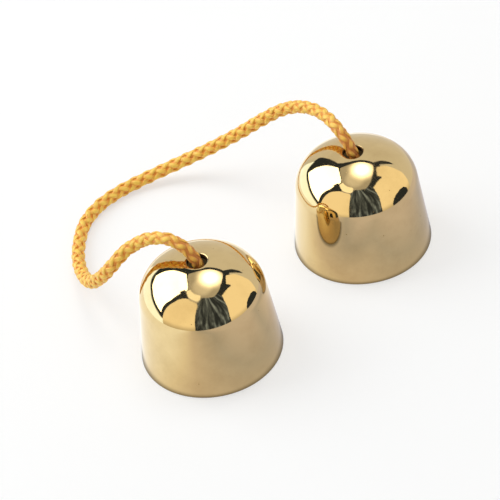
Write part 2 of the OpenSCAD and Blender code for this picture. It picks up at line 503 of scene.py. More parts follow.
def blended(tree, share, first, second):
    """A colour between two others."""
    return add_node(tree, "ShaderNodeMix", {0: share, 6: first, 7: second}, data_type="RGBA").outputs[2]


def bumped(tree, height, strength, distance):
    """The direction of a surface that a height has bumped."""
    return result(tree, "ShaderNodeBump", {"Height": height, "Strength": strength, "Distance": distance})


def object_place(tree):
    """A point's place on its object, for its material."""
    return add_node(tree, "ShaderNodeTexCoord").outputs["Object"]


def attribute(tree, name):
    """A value that a mesh carries, for its material."""
    return add_node(tree, "ShaderNodeAttribute", attribute_name=name).outputs["Fac"]


def new_material(name):
    """A new material, with its node tree and its Principled shader."""
    material = bpy.data.materials.new(name)
    material.use_nodes = True
    return material, material.node_tree, material.node_tree.nodes["Principled BSDF"]


def new_glow(name, colour, strength=1):
    """A new light-giving material, with its node tree and its Emission shader."""
    material = bpy.data.materials.new(name)
    material.use_nodes = True
    tree = material.node_tree
    tree.nodes.clear()
    light = add_node(tree, "ShaderNodeEmission", {"Color": (*colour, 1), "Strength": strength})
    add_node(tree, "ShaderNodeOutputMaterial", {"Surface": light.outputs[0]})
    return material, tree, light


# Meshes


def new_mesh(name, points, faces, *materials, smooth=False):
    """A new mesh of points and faces, with its materials."""
    mesh = bpy.data.meshes.new(name)
    mesh.from_pydata(points, [], faces)
    mesh.polygons.foreach_set("use_smooth", [smooth] * len(faces))
    for material in materials:
        mesh.materials.append(material)
    return mesh


def add_object(name, data):
    """A new object for a mesh or a camera, at the origin."""
    made = bpy.data.objects.new(name, data)
    bpy.context.scene.collection.objects.link(made)
    return made


def turns_round(count):
    """Angles spread evenly round a circle."""
    return [2 * math.pi * k / count for k in range(count)]


def heading_of(v):
    """The angle of a vector's X and Y."""
    return math.atan2(v.y, v.x)


def lengths_along(points):
    """The distance of each point of a line from its first, along the line."""
    lengths = [0.0]
    for a, b in zip(points, points[1:]):
        lengths.append(lengths[-1] + (b - a).length)
    return lengths


# The braided cord


def curve_point(a, b, c, d, t):
    """Point of the smooth curve from b to c, between neighbours a and d."""
    return (2 * b + (c - a) * t + (2 * a - 5 * b + 4 * c - d) * t * t
            + (3 * b - a - 3 * c + d) * t * t * t) / 2


def smooth_line(points):
    """Points of a smooth curve through the given ones, upright at both ends."""
    first = Vector((points[1].x, points[1].y, 2 * points[0].z - points[1].z))
    last = Vector((points[-2].x, points[-2].y, 2 * points[-1].z - points[-2].z))
    line = [first, *points, last]
    spans = zip(line, line[1:], line[2:], line[3:])
    curve = [curve_point(*span, k / SPAN_POINTS) for span in spans for k in range(SPAN_POINTS)]
    return [*curve, points[-1].copy()]


def knot_line(unit):
    """Overhand knot about the origin, from its upper end on the Z axis to its lower one."""
    line = []
    for i in range(KNOT_POINTS + 1):
        a = math.pi * (2 * i / KNOT_POINTS - 1)
        starts = (KNOT_SHIFT, 0, KNOT_FALL * a)
        waves = (math.cos, math.sin, math.sin)
        line.append(unit * Vector([
            sum((size * wave(k * a) for k, size in enumerate(sizes, 1)), start)
            for start, wave, sizes in zip(starts, waves, KNOT_WAVES)]))
    return line


def even_line(points, step):
    """The line again, with evenly spaced points about a step apart."""
    lengths = lengths_along(points)
    count = math.ceil(lengths[-1] / step)
    line, i = [], 0
    for k in range(count + 1):
        at = lengths[-1] * k / count
        while i < len(points) - 2 and lengths[i + 1] < at:
            i += 1
        share = (at - lengths[i]) / (lengths[i + 1] - lengths[i])
        line.append(points[i].lerp(points[i + 1], min(1.0, share)))
    return line


def cord_lines(cups, cord):
    """The cord's three stretches: the left end with its knot, the free length, the right knot and end."""
    knot = knot_line(cord.diameter * cord.knot_slack)
    lines, tops = {}, {}
    for side, x in SIDES:
        centre = Vector((x, -cord.knot_offset, TAIL_HIGH.z + knot[0].z))
        # The braid ends inside the melted bead
        end = Vector((centre.x, centre.y, TAIL_LOW.z + cord.diameter / 4))
        lines[side] = [*(centre + p for p in knot), end]
        tops[side] = Vector((x, 0, cups.crown_height))
    lift = Vector((0, 0, cord.diameter / 2 * cord.relaxed))
    route = [
        lines["left"][0],
        *(tops["left"] + Vector(p) for p in LEFT_RISE),
        *(Vector(p) + lift for p in SLACK),
        *(tops["right"] + Vector(p) for p in RIGHT_RISE),
        lines["right"][0],
    ]
    stretches = (lines["left"][::-1], smooth_line(route), lines["right"])
    return [even_line(stretch, cord.step) for stretch in stretches]


def path_meshes(lines, cord):
    """A path mesh for each stretch, with attributes that run on from one to the next.

    They are the distance from the cord's first end, the heading, a side that doesn't twist, how full
    the braid is, and how much the holes have rubbed it.
    """
    points = [*lines[0], *lines[1][1:], *lines[2][1:]]
    stations = lengths_along(points)
    left_hole, right_hole = stations[len(lines[0]) - 1], stations[-len(lines[2])]
    fullness, rubbed = [], []
    for s in stations:
        rubbed.append(max(0.0, 1 - min(abs(s - left_hole), abs(right_hole - s)) / RUBBING))
        ease = min(1.0, max(0.0, min(s - left_hole, right_hole - s) / RELAXING))
        fullness.append(cord.drawn + (cord.relaxed - cord.drawn) * ease * ease * (3 - 2 * ease))
    headings, sides = [], []
    for i in range(len(points)):
        before, after = points[max(0, i - 1)], points[min(len(points) - 1, i + 1)]
        headings.append((after - before).normalized())
        last = sides[-1] if sides else Vector((1, 0, 0))
        sides.append((last - last.dot(headings[i]) * headings[i]).normalized())
    meshes, first = [], 0
    for line in lines:
        mesh = bpy.data.meshes.new("path")
        mesh.from_pydata(line, [(i, i + 1) for i in range(len(line) - 1)], [])
        part = slice(first, first + len(line))
        for name, values in (("station", stations), ("fullness", fullness), ("rubbed", rubbed)):
            mesh.attributes.new(name, "FLOAT", "POINT").data.foreach_set("value", values[part])
        for name, values in (("heading", headings), ("side", sides)):
            flat = [x for v in values[part] for x in v]
            mesh.attributes.new(name, "FLOAT_VECTOR", "POINT").data.foreach_set("vector", flat)
        meshes.append(mesh)
        first += len(line) - 1
    return meshes


def braid_tree():
    """Geometry Nodes that wind a round braid of strands, over a core, along a path mesh."""
    tree = bpy.data.node_groups.new("Round braid", "GeometryNodeTree")
    add_sockets(tree, "INPUT", "NodeSocketGeometry", "Path")
    sizes = ("Diameter", "Lead", "Weave", "Strand width", "Strand thickness", "Core")
    for socket in add_sockets(tree, "INPUT", "NodeSocketFloat", *sizes):
        socket.subtype = "DISTANCE"
    add_sockets(tree, "INPUT", "NodeSocketFloat", "Swell", "Narrowing")
    add_sockets(tree, "INPUT", "NodeSocketInt", "Facets")
    add_sockets(tree, "INPUT", "NodeSocketMaterial", "Yarn")
    add_sockets(tree, "OUTPUT", "NodeSocketGeometry", "Braid")
    given = add_node(tree, "NodeGroupInput").outputs

    def stored(name, kind="FLOAT"):
        node = add_node(tree, "GeometryNodeInputNamedAttribute", {"Name": name}, data_type=kind)
        return node.outputs["Attribute"]

    def store(geometry, name, value, kind="FLOAT"):
        inputs = {"Geometry": geometry, "Name": name, "Value": value}
        return result(tree, "GeometryNodeStoreNamedAttribute", inputs, data_type=kind)

    def half(name):
        return maths(tree, "DIVIDE", given[name], 2)

    def ring(radius):
        inputs = {"Resolution": given["Facets"], "Radius": radius}
        return result(tree, "GeometryNodeCurvePrimitiveCircle", inputs)

    station = stored("station")
    heading = stored("heading", "FLOAT_VECTOR")
    side = stored("side", "FLOAT_VECTOR")
    place = result(tree, "GeometryNodeInputPosition")
    line = result(tree, "GeometryNodeMeshToCurve", {"Mesh": given["Path"]})
    line = store(line, "centre", place, "FLOAT_VECTOR")

    # Each strand winds round the path, and rises over one strand and dips under the next
    copies = add_node(
        tree, "GeometryNodeDuplicateElements", {"Geometry": line, "Amount": STRANDS}, domain="SPLINE")
    index = copies.outputs["Duplicate Index"]
    per_way = STRANDS // 2
    # The way is 1 for the first half of them, and -1 for the others
    way = maths(tree, "MULTIPLY_ADD", maths(tree, "LESS_THAN", index, per_way), 2, -1)
    turn = maths(tree, "DIVIDE", maths(tree, "MULTIPLY", station, 2 * math.pi), given["Lead"])
    place_in_way = maths(tree, "FLOORED_MODULO", index, per_way)
    start = maths(tree, "MULTIPLY", place_in_way, 2 * math.pi / per_way)
    angle = maths(tree, "MULTIPLY_ADD", turn, way, start)
    rise = maths(tree, "MULTIPLY", maths(tree, "COSINE", maths(tree, "MULTIPLY", turn, per_way)), way)
    outside = maths(tree, "MULTIPLY", half("Diameter"), stored("fullness"))
    half_thick = half("Strand thickness")
    middle = maths(tree, "SUBTRACT", maths(tree, "SUBTRACT", outside, half_thick), given["Weave"])
    radius = maths(tree, "MULTIPLY_ADD", rise, given["Weave"], middle)
    other_side = vectors(tree, "CROSS_PRODUCT", heading, side)
    outward = vectors(
        tree, "ADD",
        vectors(tree, "SCALE", side, maths(tree, "COSINE", angle)),
        vectors(tree, "SCALE", other_side, maths(tree, "SINE", angle)))
    strands = store(copies.outputs["Geometry"], "strand", index)
    strands = result(
        tree, "GeometryNodeSetCurveNormal", {"Curve": strands, "Normal": outward}, mode="FREE")
    strands = result(
        tree, "GeometryNodeSetPosition",
        {"Geometry": strands, "Offset": vectors(tree, "SCALE", outward, radius)})

    # A strand's section is an oval, flat against the cord. It swells as the strand rises, and narrows where
    # the cord is rubbed.
    swollen = maths(tree, "MULTIPLY_ADD", rise, given["Swell"], 1)
    drawn_in = maths(tree, "MULTIPLY", stored("rubbed"), given["Narrowing"])
    scale = maths(tree, "SUBTRACT", swollen, drawn_in)
    oval = store(ring(1), "across", parts_of(tree, place)["Y"])
    size = vector_of(tree, half_thick, half("Strand width"), 1)
    section = result(tree, "GeometryNodeTransform", {"Geometry": oval, "Scale": size})
    strands = result(
        tree, "GeometryNodeCurveToMesh",
        {"Curve": strands, "Profile Curve": section, "Scale": scale, "Fill Caps": True})
    core = result(
        tree, "GeometryNodeCurveToMesh",
        {"Curve": line, "Profile Curve": ring(half("Core")), "Fill Caps": True})

    # How near each point lies to the cord's outside, for the shade that the yarn's colour paints between
    # the strands
    joined = add_node(tree, "GeometryNodeJoinGeometry")
    for part in (strands, core):
        tree.links.new(part, joined.inputs[0])
    reach = measured(tree, "DISTANCE", place, stored("centre", "FLOAT_VECTOR"))
    braid = store(joined.outputs[0], "outness", maths(tree, "DIVIDE", reach, outside))
    braid = result(tree, "GeometryNodeSetShadeSmooth", {"Geometry": braid})
    braid = result(tree, "GeometryNodeRealizeInstances", {"Geometry": braid})
    braid = result(tree, "GeometryNodeSetMaterial", {"Geometry": braid, "Material": given["Yarn"]})
    add_node(tree, "NodeGroupOutput", {"Braid": braid})
    return tree


def add_braid(name, path, tree, sizes):
    """A braid along a path mesh, as a plain mesh piece."""
    guide = add_object(name + "_path", path)
    modifier = guide.modifiers.new("Round braid", "NODES")
    modifier.node_group = tree
    for item in tree.interface.items_tree:
        if item.name in sizes:
            modifier[item.identifier] = sizes[item.name]
    bpy.context.view_layer.update()
    evaluated = guide.evaluated_get(bpy.context.evaluated_depsgraph_get())
    mesh = bpy.data.meshes.new_from_object(evaluated)
    mesh.name = name
    for spent in ("heading", "side", "centre", "fullness"):
        mesh.attributes.remove(mesh.attributes[spent])
    guide.modifiers.remove(modifier)
    bpy.data.objects.remove(guide)
    return add_object(name, mesh)


def yarn_material(cord):
    """Glossy golden yarn: shade painted deeper orange between the strands, darker still near the holes with
    dirt and painted shade, and fine filaments along each strand.
    """
    material, tree, shader = new_material("Golden yarn")
    station = maths(tree, "MULTIPLY", attribute(tree, "station"), MILLIMETRES)
    strand = attribute(tree, "strand")
    rubbed = attribute(tree, "rubbed")
    filaments = stretched(tree, (attribute(tree, "across"), station, strand), FILAMENTS)
    filament = noise_at(tree, filaments, FILAMENT_SCALE, detail=2)
    patch = noise_at(tree, stretched(tree, (station, strand), PATCHES), scale=1, detail=1)
    # Painted shade: the nearer the yarn lies to the cord's middle, the more it takes of the deep orange
    # between the strands
    lit = ranged(tree, attribute(tree, "outness"), *YARN_LIT)
    # Near the holes, deep between the strands, dirt and painted shade darken the yarn
    soil_and_shade = maths(tree, "MULTIPLY", rubbed, maths(tree, "SUBTRACT", 1, lit))
    lit = maths(tree, "MULTIPLY_ADD", maths(tree, "SUBTRACT", patch, NOISE_MIDDLE), PATCH_SHARE, lit)
    # The yarn is darker near the holes: dirt and painted shade
    lit = maths(tree, "MULTIPLY_ADD", rubbed, -NEAR_HOLE_DARKENING, lit)
    uneven = maths(tree, "SUBTRACT", filament, NOISE_MIDDLE)
    lit = maths(tree, "MULTIPLY_ADD", uneven, FILAMENT_SHARE, lit, use_clamp=True)
    unmarked = blended(tree, lit, (*cord.crevice_shade, 1), (*cord.yarn, 1))
    set_inputs(tree, shader, {
        "Base Color": blended(tree, soil_and_shade, unmarked, (*cord.soiled_and_shaded, 1)),
        "Normal": bumped(tree, filament, strength=0.5, distance=FILAMENT_HEIGHT),
        "Roughness": 0.45, "Specular IOR Level": 0.35,
        "Sheen Weight": 0.1, "Sheen Tint": (*cord.yarn, 1),
    })
    return material


def melted_material(cord):
    """Yarn melted to a hard bead: darker, glossy and uneven."""
    material, tree, shader = new_material("Melted yarn")
    cloud = noise_at(tree, object_place(tree), MELT_SCALE, detail=3)
    set_inputs(tree, shader, {
        "Base Color": blended(tree, cloud, (*cord.melted, 1), (*cord.crevice_shade, 1)),
        "Roughness": ranged(tree, cloud, 0, 1, *MELT_ROUGHNESS),
        "Normal": bumped(tree, cloud, strength=0.5, distance=MELT_HEIGHT),
    })
    return material


def bead_mesh(name, material, centre, radius, height):
    """A lumpy flattened ball that closes the cord's end."""
    points = [centre + Vector((0, 0, -height / 2))]
    for i in range(1, BEAD_RINGS):
        tilt = math.pi * (i / BEAD_RINGS - 0.5)
        out = radius * math.cos(tilt) ** BEAD_EDGE
        for turn in turns_round(BEAD_SIDES):
            x, y = math.cos(turn), math.sin(turn)
            lumps = Vector((LUMPS_ROUND * x, LUMPS_ROUND * y, LUMPS_UP * tilt + LUMPS_APART * centre.x))
            lump = 1 + LUMP_SIZE * noise.noise(lumps)
            points.append(centre + lump * Vector((out * x, out * y, height / 2 * math.sin(tilt))))
    points.append(centre + Vector((0, 0, height / 2)))
    top, last = len(points) - 1, 1 + (BEAD_RINGS - 2) * BEAD_SIDES
    faces = []
    for j in range(BEAD_SIDES):
        k = (j + 1) % BEAD_SIDES
        faces.append((0, 1 + k, 1 + j))
        faces.append((last + j, last + k, top))
        for row in range(1, last, BEAD_SIDES):
            faces.append((row + j, row + k, row + BEAD_SIDES + k, row + BEAD_SIDES + j))
    return new_mesh(name, points, faces, material, smooth=True)


class CYMBALS_OT_seal_ends(bpy.types.Operator):
    """Seal both ends of the cord with a melted bead"""

    bl_idname = "cymbals.seal_ends"
    bl_label = "Seal the Ends"

    def execute(self, context):
        cord = context.scene.cymbal_cord
        material = melted_material(cord)
        for side, x in SIDES:
            centre = Vector((x, -cord.knot_offset, TAIL_LOW.z + cord.bead_height / 2))
            radius = cord.diameter / 2 + cord.bead_lip
            mesh = bead_mesh(f"{side}_end_bead", material, centre, radius, cord.bead_height)
            bead = add_object(mesh.name, mesh)
            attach(bead, "cord")
            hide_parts(f"{side}_tail")
        return {"FINISHED"}


class CYMBALS_OT_braid_cord(bpy.types.Operator):
    """Braid the cord with its knots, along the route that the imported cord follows"""

    bl_idname = "cymbals.braid_cord"
    bl_label = "Braid the Cord"

    def execute(self, context):
        cups, cord = context.scene.cymbal_cups, context.scene.cymbal_cord
        tree = braid_tree()
        sizes = {
            "Diameter": cord.diameter, "Lead": cord.lead, "Weave": cord.weave,
            "Strand width": cord.strand_width, "Strand thickness": cord.strand_thickness,
            "Core": cord.core, "Swell": cord.swell, "Narrowing": cord.narrowing,
            "Facets": cord.facets, "Yarn": yarn_material(cord),
        }
        lines = cord_lines(cups, cord)
        names = ("left_knot_braid", "cord_braid", "right_knot_braid")
        paths = path_meshes(lines, cord)
        pieces = [add_braid(name, path, tree, sizes) for name, path in zip(names, paths)]
        stood_for = (("left_knot", "left_tail"), ("cord",), ("right_knot", "right_tail"))
        for piece, nodes in zip(pieces, stood_for):
            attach(piece, "cord")
            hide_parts(*nodes)
        return {"FINISHED"}


# The cups


def arc(centre, radius, start, end, step):
    """Points along an arc, without its last."""
    count = max(ARC_LEAST, math.ceil(abs(end - start) * radius / step))
    turns = (start + (end - start) * i / count for i in range(count))
    return [centre + radius * Vector((math.cos(t), math.sin(t))) for t in turns]


def run(a, b, count):
    """Points along a straight run, without its last."""
    return [a.lerp(b, i / count) for i in range(count)]


def cup_outline(cups):
    """The wall's closed outline as radius and height, in two stretches: outside, then inside."""
    out = Vector((math.cos(cups.flare), math.sin(cups.flare)))
    up = Vector((-out.y, out.x))
    reach = cups.mouth / 2 * out.x
    crown = Vector((0, cups.crown_height - cups.crown_radius))
    between = cups.crown_radius - cups.shoulder_radius
    over = reach - cups.shoulder_radius - crown.y * out.y
    shoulder = crown + over * out + math.sqrt(between ** 2 - over ** 2) * up
    meet = heading_of(shoulder - crown)
    inner_crown, inner_shoulder = cups.crown_radius - cups.wall, cups.shoulder_radius - cups.wall
    r, h = cups.rim_round, cups.hole_round

    def rim(inset):
        return Vector(((reach - inset - r * out.y) / out.x, r))

    def at_hole(arc_radius):
        x = cups.hole / 2 + h
        return Vector((x, crown.y + math.sqrt(arc_radius ** 2 - x ** 2)))

    rim_out, rim_in = rim(r), rim(cups.wall - r)
    hole_out, hole_in = at_hole(cups.crown_radius - h), at_hole(inner_crown + h)
    to_hole_out, to_hole_in = heading_of(hole_out - crown), heading_of(hole_in - crown)
    half_turn, down, to_axis = math.pi, Vector((0, -r)), Vector((-h, 0))
    outside = [
        *arc(rim_out, r, -half_turn / 2, cups.flare, EDGE_STEP),
        *run(rim_out + r * out, shoulder + cups.shoulder_radius * out, SKIRT_STEPS),
        *arc(shoulder, cups.shoulder_radius, cups.flare, meet, ARC_STEP),
        *arc(crown, cups.crown_radius, meet, to_hole_out, ARC_STEP),
        *arc(hole_out, h, to_hole_out, half_turn, EDGE_STEP),
    ]
    inside = [
        *run(hole_out + to_axis, hole_in + to_axis, HOLE_STEPS),
        *arc(hole_in, h, half_turn, half_turn + to_hole_in, EDGE_STEP),
        *arc(crown, inner_crown, to_hole_in, meet, ARC_STEP),
        *arc(shoulder, inner_shoulder, meet, cups.flare, ARC_STEP),
        *run(shoulder + inner_shoulder * out, rim_in - r * out, SKIRT_STEPS),
        *arc(rim_in, r, half_turn + cups.flare, 1.5 * half_turn, EDGE_STEP),
        *run(rim_in + down, rim_out + down, RIM_STEPS),
    ]
    return outside, inside


def turned_mesh(name, materials, outline, axis_x, inside_from, cups):
    """A closed outline turned about an upright axis, with its inside on the second material."""
    count = len(outline)
    points = [
        (axis_x + p.x * math.cos(t), p.x * math.sin(t), p.y)
        for p in outline for t in turns_round(SEGMENTS)]
    faces = []
    for i in range(count):
        here, after = i * SEGMENTS, (i + 1) % count * SEGMENTS
        for j in range(SEGMENTS):
            k = (j + 1) % SEGMENTS
            faces.append((here + j, here + k, after + k, after + j))
    mesh = new_mesh(name, points, faces, *materials, smooth=True)
    mesh.polygons.foreach_set(
        "material_index", [int(i >= inside_from) for i in range(count) for _ in range(SEGMENTS)])

    # The shade painted on the hole's wall is full in the half of its reach beside the hole, and fades in
    # the other half
    unmarked = cups.hole / 2 + cups.hole_shade_reach
    hole_shade = [min(1.0, max(0.0, 2 * (unmarked - p.x) / cups.hole_shade_reach)) for p in outline]
    for label, values in (("outline_length", lengths_along(outline)), ("hole_shade", hole_shade)):
        spread = [v for v in values for _ in range(SEGMENTS)]
        mesh.attributes.new(label, "FLOAT", "POINT").data.foreach_set("value", spread)
    mesh.update()
    return mesh


def handled_group():
    """Shader group of what handling leaves on metal: soft smudges, tiny specks and polishing waves."""
    tree = bpy.data.node_groups.new("Handled metal", "ShaderNodeTree")
    add_sockets(tree, "INPUT", "NodeSocketFloat", "Smudge scale", "Speck scale", "Wave scale")
    add_sockets(tree, "OUTPUT", "NodeSocketFloat", "Smudge", "Speck", "Waves")
    given = add_node(tree, "NodeGroupInput").outputs
    place = object_place(tree)
    clouds = noise_at(tree, place, given["Smudge scale"], SMUDGE_DETAIL, SMUDGE_GRAIN)
    cell = {"Vector": place, "Scale": given["Speck scale"]}
    cells = add_node(tree, "ShaderNodeTexVoronoi", cell).outputs
    chance = result(tree, "ShaderNodeSeparateColor", {0: cells["Color"]})
    near = maths(tree, "LESS_THAN", cells["Distance"], SPECK_SIZE)
    few = maths(tree, "GREATER_THAN", chance, SPECK_FREE)
    add_node(tree, "NodeGroupOutput", {
        "Smudge": ranged(tree, clouds, *SMUDGE),
        "Speck": maths(tree, "MULTIPLY", near, few),
        "Waves": noise_at(tree, place, given["Wave scale"], detail=1),
    })
    return tree


def brass_material(name, group, scales, colours, sheen):
    """Brass that handling has marked, with its node tree, its shader and its marks.

    Its colours are those of the clean metal, of dull metal and of the shade painted on the hole's wall.
    Sheen is the roughness of the clean metal, and how much smudges add to it.
    """
    unmarked, dull, hole_shade_colour = ((*colour, 1) for colour in colours)
    material, tree, shader = new_material(name)
    marks = add_node(tree, "ShaderNodeGroup", scales, node_tree=group).outputs
    hole_shade = attribute(tree, "hole_shade")
    dulled = maths(tree, "MULTIPLY_ADD", marks["Smudge"], SMUDGE_DULLING, marks["Speck"], use_clamp=True)
    metal = blended(tree, dulled, unmarked, dull)
    rough = maths(tree, "MULTIPLY_ADD", marks["Smudge"], sheen[1], sheen[0])
    rough = maths(tree, "MULTIPLY_ADD", marks["Speck"], SPECK_ROUGHNESS, rough)
    # Painted shade: the hole's wall is covered with a near-black colour, and it is also rougher there
    set_inputs(tree, shader, {
        "Base Color": blended(tree, maths(tree, "MULTIPLY", hole_shade, HOLE_SHADE_COVER), metal, hole_shade_colour),
        "Roughness": maths(tree, "MULTIPLY_ADD", hole_shade, HOLE_SHADE_ROUGHNESS, rough),
        "Metallic": 1,
    })
    return material, tree, shader, marks


def polished_brass(cups, group):
    """Outside of the cups: mirror bright, with faint waves that the buffing wheel left."""
    colours = (cups.brass, cups.tarnish, cups.hole_shade)
    material, tree, shader, marks = brass_material(
        "Polished brass", group, POLISHED_MARKS, colours, POLISHED_SHEEN)
    normal = bumped(tree, marks["Waves"], strength=1, distance=cups.buffing_waves)
    set_inputs(tree, shader, {"Normal": normal})
    return material


def turned_brass(cups, group):
    """Inside of the cups: duller brass, with the fine rings that the lathe tool left."""
    dull = tuple((a + b) / 2 for a, b in zip(cups.brass, cups.tarnish))
    colours = (dull, cups.tarnish, cups.hole_shade)
    material, tree, shader, marks = brass_material(
        "Turned brass", group, TURNED_MARKS, colours, TURNED_SHEEN)
    along = attribute(tree, "outline_length")
    rings = maths(tree, "SINE", maths(tree, "MULTIPLY", along, 2 * math.pi / cups.tool_pitch))
    uneven = result(
        tree, "ShaderNodeTexNoise",
        {"W": maths(tree, "DIVIDE", along, cups.tool_pitch), "Scale": RING_SCALE}, noise_dimensions="1D")
    rings = maths(tree, "MULTIPLY_ADD", uneven, RING_VARIES, rings)
    height = maths(tree, "MULTIPLY_ADD", marks["Waves"], RING_WAVES, rings)
    set_inputs(tree, shader, {"Normal": bumped(tree, height, RING_STRENGTH, cups.tool_depth)})
    return material


class CYMBALS_OT_turn_cups(bpy.types.Operator):
    """Turn both cups, polished outside and with tool marks inside"""

    bl_idname = "cymbals.turn_cups"
    bl_label = "Turn the Cups"

    def execute(self, context):
        cups = context.scene.cymbal_cups
        outside, inside = cup_outline(cups)
        group = handled_group()
        materials = (polished_brass(cups, group), turned_brass(cups, group))
        for side, x in SIDES:
            name = f"{side}_cup_shell"
            shell = add_object(name, turned_mesh(name, materials, outside + inside, x, len(outside), cups))
            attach(shell, f"{side}_cup")
            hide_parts(f"{side}_cup")
        return {"FINISHED"}


# The stage


def studio_direction(stage, bearing, elevation):
    """Direction from the aim, at a bearing to the camera's right and an elevation, both in degrees."""
    turn = heading_of(Vector(stage.eye) - Vector(stage.aim)) + math.radians(bearing)
    rise = math.radians(elevation)
    flat = math.cos(rise)
    return Vector((flat * math.cos(turn), flat * math.sin(turn), math.sin(rise)))


def set_rays(made, lights=False, mirrored=True):
    """Keep a card out of the camera's sight. It may give light, show in reflections, or both."""
    made.visible_camera = False
    made.visible_shadow = False
    made.visible_diffuse = lights
    made.visible_transmission = lights
    made.visible_glossy = mirrored


def round_card(name, stage, stations, distance, material, **rays):
    """A card that curves round the cups. Each station is a bearing, and its lower and upper edge there."""
    columns = []
    for a, b in zip(stations, stations[1:]):
        steps = max(1, math.ceil(abs(b[0] - a[0]) / CARD_STEP))
        columns += [[a[i] + (b[i] - a[i]) * k / steps for i in range(3)] for k in range(steps)]
    columns.append(stations[-1])
    directions = [
        studio_direction(stage, bearing, low + (high - low) * k / CARD_ROWS)
        for bearing, low, high in columns for k in range(CARD_ROWS + 1)]
    points = [Vector(stage.aim) + distance * direction for direction in directions]
    faces = []
    for i in range(len(columns) - 1):
        for k in range(CARD_ROWS):
            here = i * (CARD_ROWS + 1) + k
            after = here + CARD_ROWS + 1
            faces.append((here, here + 1, after + 1, after))
    set_rays(add_object(name, new_mesh(name, points, faces, material)), **rays)


def add_ring(name, material, inner, outer, centre=(0, 0, 0)):
    """A flat level ring, or a disc where its inner radius is 0."""
    x, y, z = centre
    turns = turns_round(DISC_SIDES)
    points = [(x + r * math.cos(t), y + r * math.sin(t), z) for r in (inner, outer) if r for t in turns]
    faces = [tuple(range(DISC_SIDES))]
    if inner:
        after = [(k + 1) % DISC_SIDES for k in range(DISC_SIDES)]
        faces = [(j, j + DISC_SIDES, k + DISC_SIDES, k) for j, k in enumerate(after)]
    return add_object(name, new_mesh(name, points, faces, material))


def seen_ray(tree):
    """1 for a ray from the camera or from a reflection, and 0 for one that gathers light."""
    ray = add_node(tree, "ShaderNodeLightPath").outputs
    seen = maths(tree, "MAXIMUM", ray["Is Camera Ray"], ray["Is Glossy Ray"])
    return maths(tree, "MAXIMUM", seen, ray["Is Transmission Ray"])


def show_mix(tree, share, first, second):
    """Show a mix of two shaders on the surface."""
    both = result(tree, "ShaderNodeMixShader", {0: share, 1: first, 2: second})
    set_inputs(tree, tree.nodes["Material Output"], {"Surface": both})


def ceiling_glow(stage):
    """Light of the ceiling, which is dimmer low down, with the round lamp that fades into it."""
    material, tree, light = new_glow("Ceiling", CEILING_COLOUR)
    from_aim = vectors(tree, "NORMALIZE", vectors(tree, "SUBTRACT", object_place(tree), tuple(stage.aim)))
    heights = (math.sin(math.radians(elevation)) for elevation in CEILING_ELEVATIONS)
    height = parts_of(tree, from_aim)["Z"]
    base = ranged(
        tree, height, *heights, CEILING_DIM * stage.ceiling, stage.ceiling, "SMOOTHSTEP")
    nearness = measured(tree, "DOT_PRODUCT", from_aim, studio_direction(stage, *LAMP_PLACE))
    near = ranged(tree, nearness, *(math.cos(math.radians(angle)) for angle in LAMP_ANGLES))
    lamp = maths(tree, "POWER", near, LAMP_FADE)
    set_inputs(tree, light, {"Strength": maths(tree, "MULTIPLY_ADD", lamp, stage.top_lamp, base)})
    return material


def panel_glow(stage):
    """Warm panel that dims towards its foot."""
    material, tree, light = new_glow("Warm panel", PANEL_COLOUR)
    height = parts_of(tree, object_place(tree))["Z"]
    strength = ranged(
        tree, height, *PANEL_HEIGHTS, PANEL_DIM * stage.panels, stage.panels, "SMOOTHSTEP")
    set_inputs(tree, light, {"Strength": strength})
    return material


def curtain_glow():
    """Dark cloth behind the camera, with a few paler folds."""
    material, tree, light = new_glow("Dark curtain", DARK_COLOUR)
    place = parts_of(tree, object_place(tree))
    bearing = maths(tree, "ARCTAN2", place["Y"], place["X"])
    folds = noise_at(tree, stretched(tree, (bearing, place["Z"]), FOLDS), scale=1, detail=2)
    crest = ranged(tree, folds, *CREST)
    pale = maths(tree, "MULTIPLY", crest, crest)
    set_inputs(tree, light, {"Strength": maths(tree, "MULTIPLY_ADD", pale, CREST_GLOW, DARK_GLOW)})
    return material


def floor_material(stage):
    """Pale matt paper, clear when it is seen from below."""
    material, tree, shader = new_material("Pale paper")
    set_inputs(tree, shader, {
        "Base Color": (*stage.floor, 1), "Roughness": 0.9, "Specular IOR Level": 0.1})
    white = result(tree, "ShaderNodeEmission", {"Color": (*WHITE, 1), "Strength": 1})
    share = maths(tree, "MULTIPLY", seen_ray(tree), FLOOR_GLOW)
    paper = result(tree, "ShaderNodeMixShader", {0: share, 1: shader.outputs[0], 2: white})
    below = add_node(tree, "ShaderNodeNewGeometry").outputs["Backfacing"]
    show_mix(tree, below, paper, result(tree, "ShaderNodeBsdfTransparent"))
    return material


def set_floor(stage):
    """The pale floor. Past the table's edge the brass mirrors the studio's cards and not the floor."""
    material = floor_material(stage)
    for name, inner, outer in (("table", 0, TABLE_RADIUS), ("floor", TABLE_RADIUS, FLOOR_RADIUS)):
        made = add_ring(name, material, inner, outer)
        made.visible_glossy = not inner


